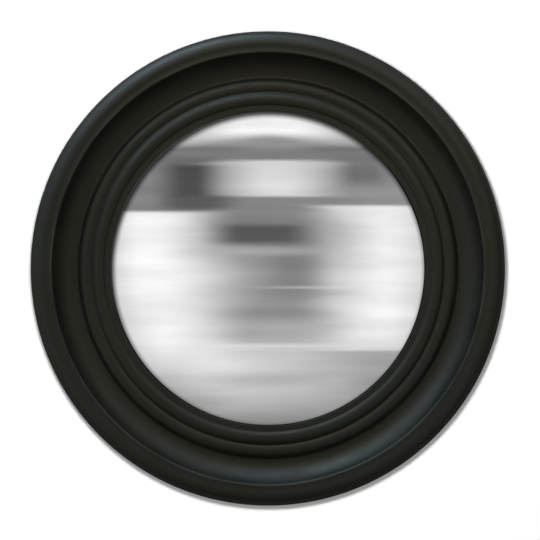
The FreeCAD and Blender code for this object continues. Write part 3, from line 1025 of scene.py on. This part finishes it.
def dress_hidden_rings():
    foam = dressed("foam_strip", "foam_strip_ring", "foam",
                   turned("foam", foam_outline(), soft_edge), grey_foam())
    outline = flat_outline(packing_inner_radius, packing_outer_radius, backboard_thickness, packing_front)
    dressed("packing_board", "packing_ring", "fibreboard", turned("packing", outline), fibreboard())


# Wall, light and camera

wall_size = 1400.0
wall_whiteness = 0.98
wall_lift = 0.15
wall_bounce = 0.6
wall_open_distance = 25.0
camera_distance = 1500.0
camera_lens = 125.2
camera_sensor = 36.0
picture_width = 540
centre_left_of_middle = 2.1
centre_above_middle = 1.5


def emptied(owner):
    """The graph of a material or a world, without nodes."""
    owner.use_nodes = True
    owner.node_tree.nodes.clear()
    return Graph(owner.node_tree)


def make_wall():
    """A white wall, seen only from in front, that keeps the shadow and sends light back to the rim."""
    half = wall_size / 2 * MM
    mesh = bpy.data.meshes.new("wall")
    corners = [(-half, 0, -half), (half, 0, -half), (half, 0, half), (-half, 0, half)]
    mesh.from_pydata(corners, [], [(0, 1, 2, 3)])
    material = bpy.data.materials.new("white_wall")
    mesh.materials.append(material)
    graph = emptied(material)
    camera_ray, shadow_ray, length = [graph.node("ShaderNodeLightPath", {}, name)
                                      for name in ("Is Camera Ray", "Is Shadow Ray", "Ray Length")]
    plaster = graph.node("ShaderNodeBsdfDiffuse", {"Color": (wall_whiteness,) * 3})
    lift = graph.node("ShaderNodeEmission", {"Strength": camera_ray * wall_lift})
    lit = graph.node("ShaderNodeAddShader", {0: plaster, 1: lift})
    clear = graph.node("ShaderNodeBsdfTransparent", {})
    from_far = graph.math("GREATER_THAN", length, wall_open_distance * MM)
    in_front = 1.0 - graph.node("ShaderNodeNewGeometry", {}, "Backfacing")
    share = camera_ray.between(0.0, 1.0, wall_bounce, 1.0)
    seen = from_far * in_front * (1.0 - shadow_ray) * share
    graph.end("ShaderNodeOutputMaterial", graph.node("ShaderNodeMixShader", {0: seen, 1: clear, 2: lit}))
    placed("wall", mesh)


def lamp(name, place, size, strength, colour=(1.0, 1.0, 1.0), shape="SQUARE"):
    """A soft lamp aimed at the mirror. Its strength is how bright a white surface there becomes."""
    data = bpy.data.lights.new(name, "AREA")
    data.shape = shape
    data.size = size
    data.color = colour
    place = Vector(place)
    data.energy = strength * math.pi ** 2 * place.length_squared
    item = placed(name, data)
    item.location = place
    item.rotation_mode = "QUATERNION"
    item.rotation_quaternion = (-place).to_track_quat("-Z", "Y")
    item.visible_camera = False
    return item


def off_axis(azimuth, tilt, distance):
    """A place in front of the mirror, at an angle round its axis and a tilt away from it."""
    away = distance * sine(tilt)
    return (away * cosine(azimuth), -distance * cosine(tilt), away * sine(azimuth))


# azimuth, tilt, distance, size, strength
front_light = (114, 3.8, 1.04, 0.10, 0.80)
# name, place, size, strength
behind_lights = (
    ("behind_right", (-0.7, 1.3, 0.9), 0.9, 0.6),
    ("behind_left", (0.9, 1.2, 0.5), 0.9, 0.35),
)
# Soft lights that show only as sheen on the paint and the metal.
# name, azimuth, tilt, distance, size, strength, colour
sheen_lights = (
    ("window_upper", 105, 70, 2.4, 1.0, 0.95, (0.45, 0.67, 1.0)),
    ("window_low", 105, 80, 2.4, 1.0, 0.56, (0.50, 0.66, 1.0)),
    ("window_left", 130, 76, 2.4, 1.0, 0.60, (0.44, 0.65, 1.0)),
    ("left_high", 130, 54, 2.4, 0.8, 0.22, (0.86, 0.92, 1.0)),
    ("left_low", 180, 78, 2.4, 1.0, 0.13, (0.72, 0.80, 1.0)),
    ("floor_left", 210, 52, 2.4, 1.0, 0.12, (0.88, 0.92, 1.0)),
    ("right_high", 55, 72, 2.4, 1.0, 0.20, (0.84, 0.86, 1.0)),
    ("near_right", 45, 43, 0.7, 0.3, 0.19, (1.0, 1.0, 0.90)),
    ("near_top", 100, 45, 0.7, 0.3, 0.20, (1.0, 0.86, 0.76)),
    ("near_lower_right", 320, 45, 0.7, 0.3, 0.09, (0.62, 0.68, 1.0)),
)


def make_lamps():
    """A front light that casts the thin shadow, two from behind for the back, and the sheen lights."""
    azimuth, tilt, distance, size, strength = front_light
    lamp("front", off_axis(azimuth, tilt, distance), size, strength, shape="DISK").visible_glossy = False
    for behind in behind_lights:
        lamp(*behind)
    off_glass = bpy.data.collections.new("off_glass")
    off_glass.objects.link(bpy.data.objects["silvered_dome"])
    off_glass.collection_objects[0].light_linking.link_state = "EXCLUDE"
    for name, azimuth, tilt, distance, size, strength, colour in sheen_lights:
        light = lamp(name, off_axis(azimuth, tilt, distance), size, strength, colour)
        light.visible_diffuse = False
        light.light_linking.receiver_collection = off_glass


# Soft shapes of the room that the mirror shows, each drawn over the ones before it.
# Places and sizes are shares of the radius of the circle that shows. A bend lowers a shape towards its sides.
# name, middle across and up, half width and height, softness across and up, brightness, strength, bend if any
room_shapes = (
    ("left_wall_end", -1.06, 0.0, 0.14, 2.0, 0.14, 0.1, 0.66, 1.0),
    ("right_wall_end", 1.08, 0.0, 0.18, 2.0, 0.18, 0.1, 0.64, 1.0),
    ("right_wall", 0.48, 0.40, 0.26, 0.52, 0.26, 0.20, 0.80, 0.6),
    ("middle_of_room", 0.04, -0.08, 0.39, 0.43, 0.33, 0.12, 0.34, 1.0),
    ("middle_upper", 0.0, 0.21, 0.45, 0.15, 0.32, 0.12, 0.30, 0.7),
    ("middle_shade", 0.16, -0.02, 0.15, 0.19, 0.13, 0.14, 0.19, 0.75),
    ("middle_light", -0.04, 0.11, 0.40, 0.022, 0.35, 0.022, 0.50, 0.5),
    ("lintel", -0.04, 0.222, 0.28, 0.068, 0.15, 0.030, 0.095, 0.97),
    ("above_lintel", -0.02, 0.33, 0.34, 0.05, 0.20, 0.03, 0.20, 0.85),
    ("shelf_light", 0.32, -0.120, 0.32, 0.008, 0.25, 0.008, 0.75, 0.35),
    ("shelf_shade", 0.25, -0.150, 0.30, 0.018, 0.25, 0.015, 0.30, 0.35),
    ("lower_shade", 0.04, -0.290, 0.26, 0.040, 0.22, 0.035, 0.24, 0.6),
    ("lower_middle", 0.12, -0.42, 0.26, 0.10, 0.24, 0.06, 0.45, 0.7),
    ("skirting_light", -0.1, -0.490, 0.55, 0.014, 0.40, 0.014, 0.88, 0.5),
    ("floor", 0.85, -1.56, 0.85, 1.038, 0.50, 0.010, 0.54, 1.0),
    ("floor_middle", 0.20, -1.56, 0.45, 1.030, 0.45, 0.03, 0.58, 0.8),
    ("floor_left", -1.3, -1.56, 1.25, 0.86, 0.35, 0.16, 0.64, 1.0),
    ("left_lower_end", -1.0, -0.50, 0.22, 0.24, 0.16, 0.18, 0.62, 0.7),
    ("floor_band", 0.0, -0.715, 0.32, 0.05, 0.22, 0.045, 0.42, 0.7),
    ("floor_left_end", -0.85, -0.88, 0.40, 0.26, 0.34, 0.22, 0.32, 0.9),
    ("floor_right_end", 0.88, -0.82, 0.40, 0.3, 0.34, 0.24, 0.30, 0.9),
    ("near_floor", 0.0, -1.4, 4.0, 0.52, 0.1, 0.14, 0.21, 0.9),
    ("upper_wall", -0.7, 0.90, 1.0, 0.540, 0.15, 0.014, 0.24, 1.0),
    ("upper_wall_right", 0.9, 0.90, 0.75, 0.502, 0.20, 0.014, 0.31, 1.0),
    ("upper_dark", 0.0, 0.90, 1.4, 0.20, 0.3, 0.05, 0.145, 0.9),
    ("ceiling", 0.0, 1.16, 1.4, 0.385, 0.1, 0.025, 0.34, 1.0),
    ("ceiling_glow", -0.02, 0.99, 0.40, 0.145, 0.30, 0.040, 0.98, 1.0, 0.20),
    ("ceiling_arch", 0.04, 0.775, 0.20, 0.060, 0.18, 0.025, 0.30, 0.8, 0.8),
    ("beam", 0.0, 0.716, 1.3, 0.034, 0.5, 0.026, 0.205, 0.9),
    ("left_shade", -0.49, 0.53, 0.16, 0.15, 0.13, 0.05, 0.078, 0.97),
    ("right_shade", 0.60, 0.61, 0.16, 0.08, 0.12, 0.06, 0.13, 0.8),
    ("window", 0.05, 0.568, 0.27, 0.115, 0.24, 0.016, 0.76, 1.0),
    ("window_head", 0.0, 0.663, 0.40, 0.010, 0.25, 0.010, 0.60, 0.4),
    ("sill", 0.05, 0.428, 0.50, 0.022, 0.32, 0.014, 0.24, 0.95),
    ("sill_left", -0.42, 0.42, 0.18, 0.040, 0.14, 0.02, 0.10, 0.9),
)
room_wall_light = 0.97
mirror_reach = 0.35
room_side_start = 0.37
room_side_end = 0.60
room_side_light = 0.06
room_fill = 0.20
smear_size = 1000.0
smear_across = 0.9
smear_up = 9.0
smear_strength = 0.09


def make_world():
    """White behind the object, and around it a pale room of soft shapes that the mirror shows."""
    world = bpy.data.worlds.new("room")
    bpy.context.scene.world = world
    graph = emptied(world)
    direction = graph.node("ShaderNodeTexCoord", {}, "Generated")
    halfway = graph.vector_math("NORMALIZE", graph.vector_math("SUBTRACT", direction, (0.0, 1.0, 0.0)))
    x, _, z = halfway.parts()
    across, up = x / mirror_reach, z / mirror_reach
    light = (room_wall_light,) * 3
    for shape in room_shapes:
        light = with_shape(graph, light, across, up, *shape)
    smear = graph.vector(across * smear_across, up * smear_up, 0.0).noise(smear_size)
    streaks = smear.between(0.25, 0.75, 1 - smear_strength, 1 + smear_strength)
    light = graph.vector_math("MULTIPLY", light, graph.vector(streaks, streaks, streaks))
    side = graph.math("SQRT", x * x + z * z).between(room_side_start, room_side_end)
    light = graph.mix(side, light, (room_side_light,) * 3)
    for ray, shade in (("Is Diffuse Ray", room_fill), ("Is Camera Ray", 1.0)):
        light = graph.mix(graph.node("ShaderNodeLightPath", {}, ray), light, (shade,) * 3)
    graph.end("ShaderNodeOutputWorld", graph.node("ShaderNodeBackground", {"Color": light}))


def with_shape(graph, light, across, up, name, middle_x, middle_z, half_x, half_z, soft_x, soft_z,
               brightness, strength, bend=0.0):
    """The room's light with one soft-edged shape drawn over it."""
    away_x = graph.math("ABSOLUTE", across - middle_x)
    away_z = graph.math("ABSOLUTE", up + across * across * bend - middle_z)
    share = (away_x.between(half_x - soft_x, half_x + soft_x, 1.0, 0.0)
             * away_z.between(half_z - soft_z, half_z + soft_z, 1.0, 0.0))
    return graph.mix(share * strength, light, (brightness,) * 3, label=name)


def make_camera():
    """Straight in front of the mirror, with a small shift that places it as in the photograph."""
    data = bpy.data.cameras.new("camera")
    data.lens = camera_lens
    data.sensor_width = camera_sensor
    data.shift_x = centre_left_of_middle / picture_width
    data.shift_y = -centre_above_middle / picture_width
    camera = placed("camera", data)
    camera.location = (0, depth_y(camera_distance) * MM, 0)
    camera.rotation_euler = (math.radians(90), 0, 0)
    bpy.context.scene.camera = camera


dress_frame()
dress_glass()
dress_back()
dress_hardware()
dress_hidden_rings()
make_wall()
make_lamps()
make_world()
make_camera()
bpy.context.scene.view_settings.view_transform = "Standard"
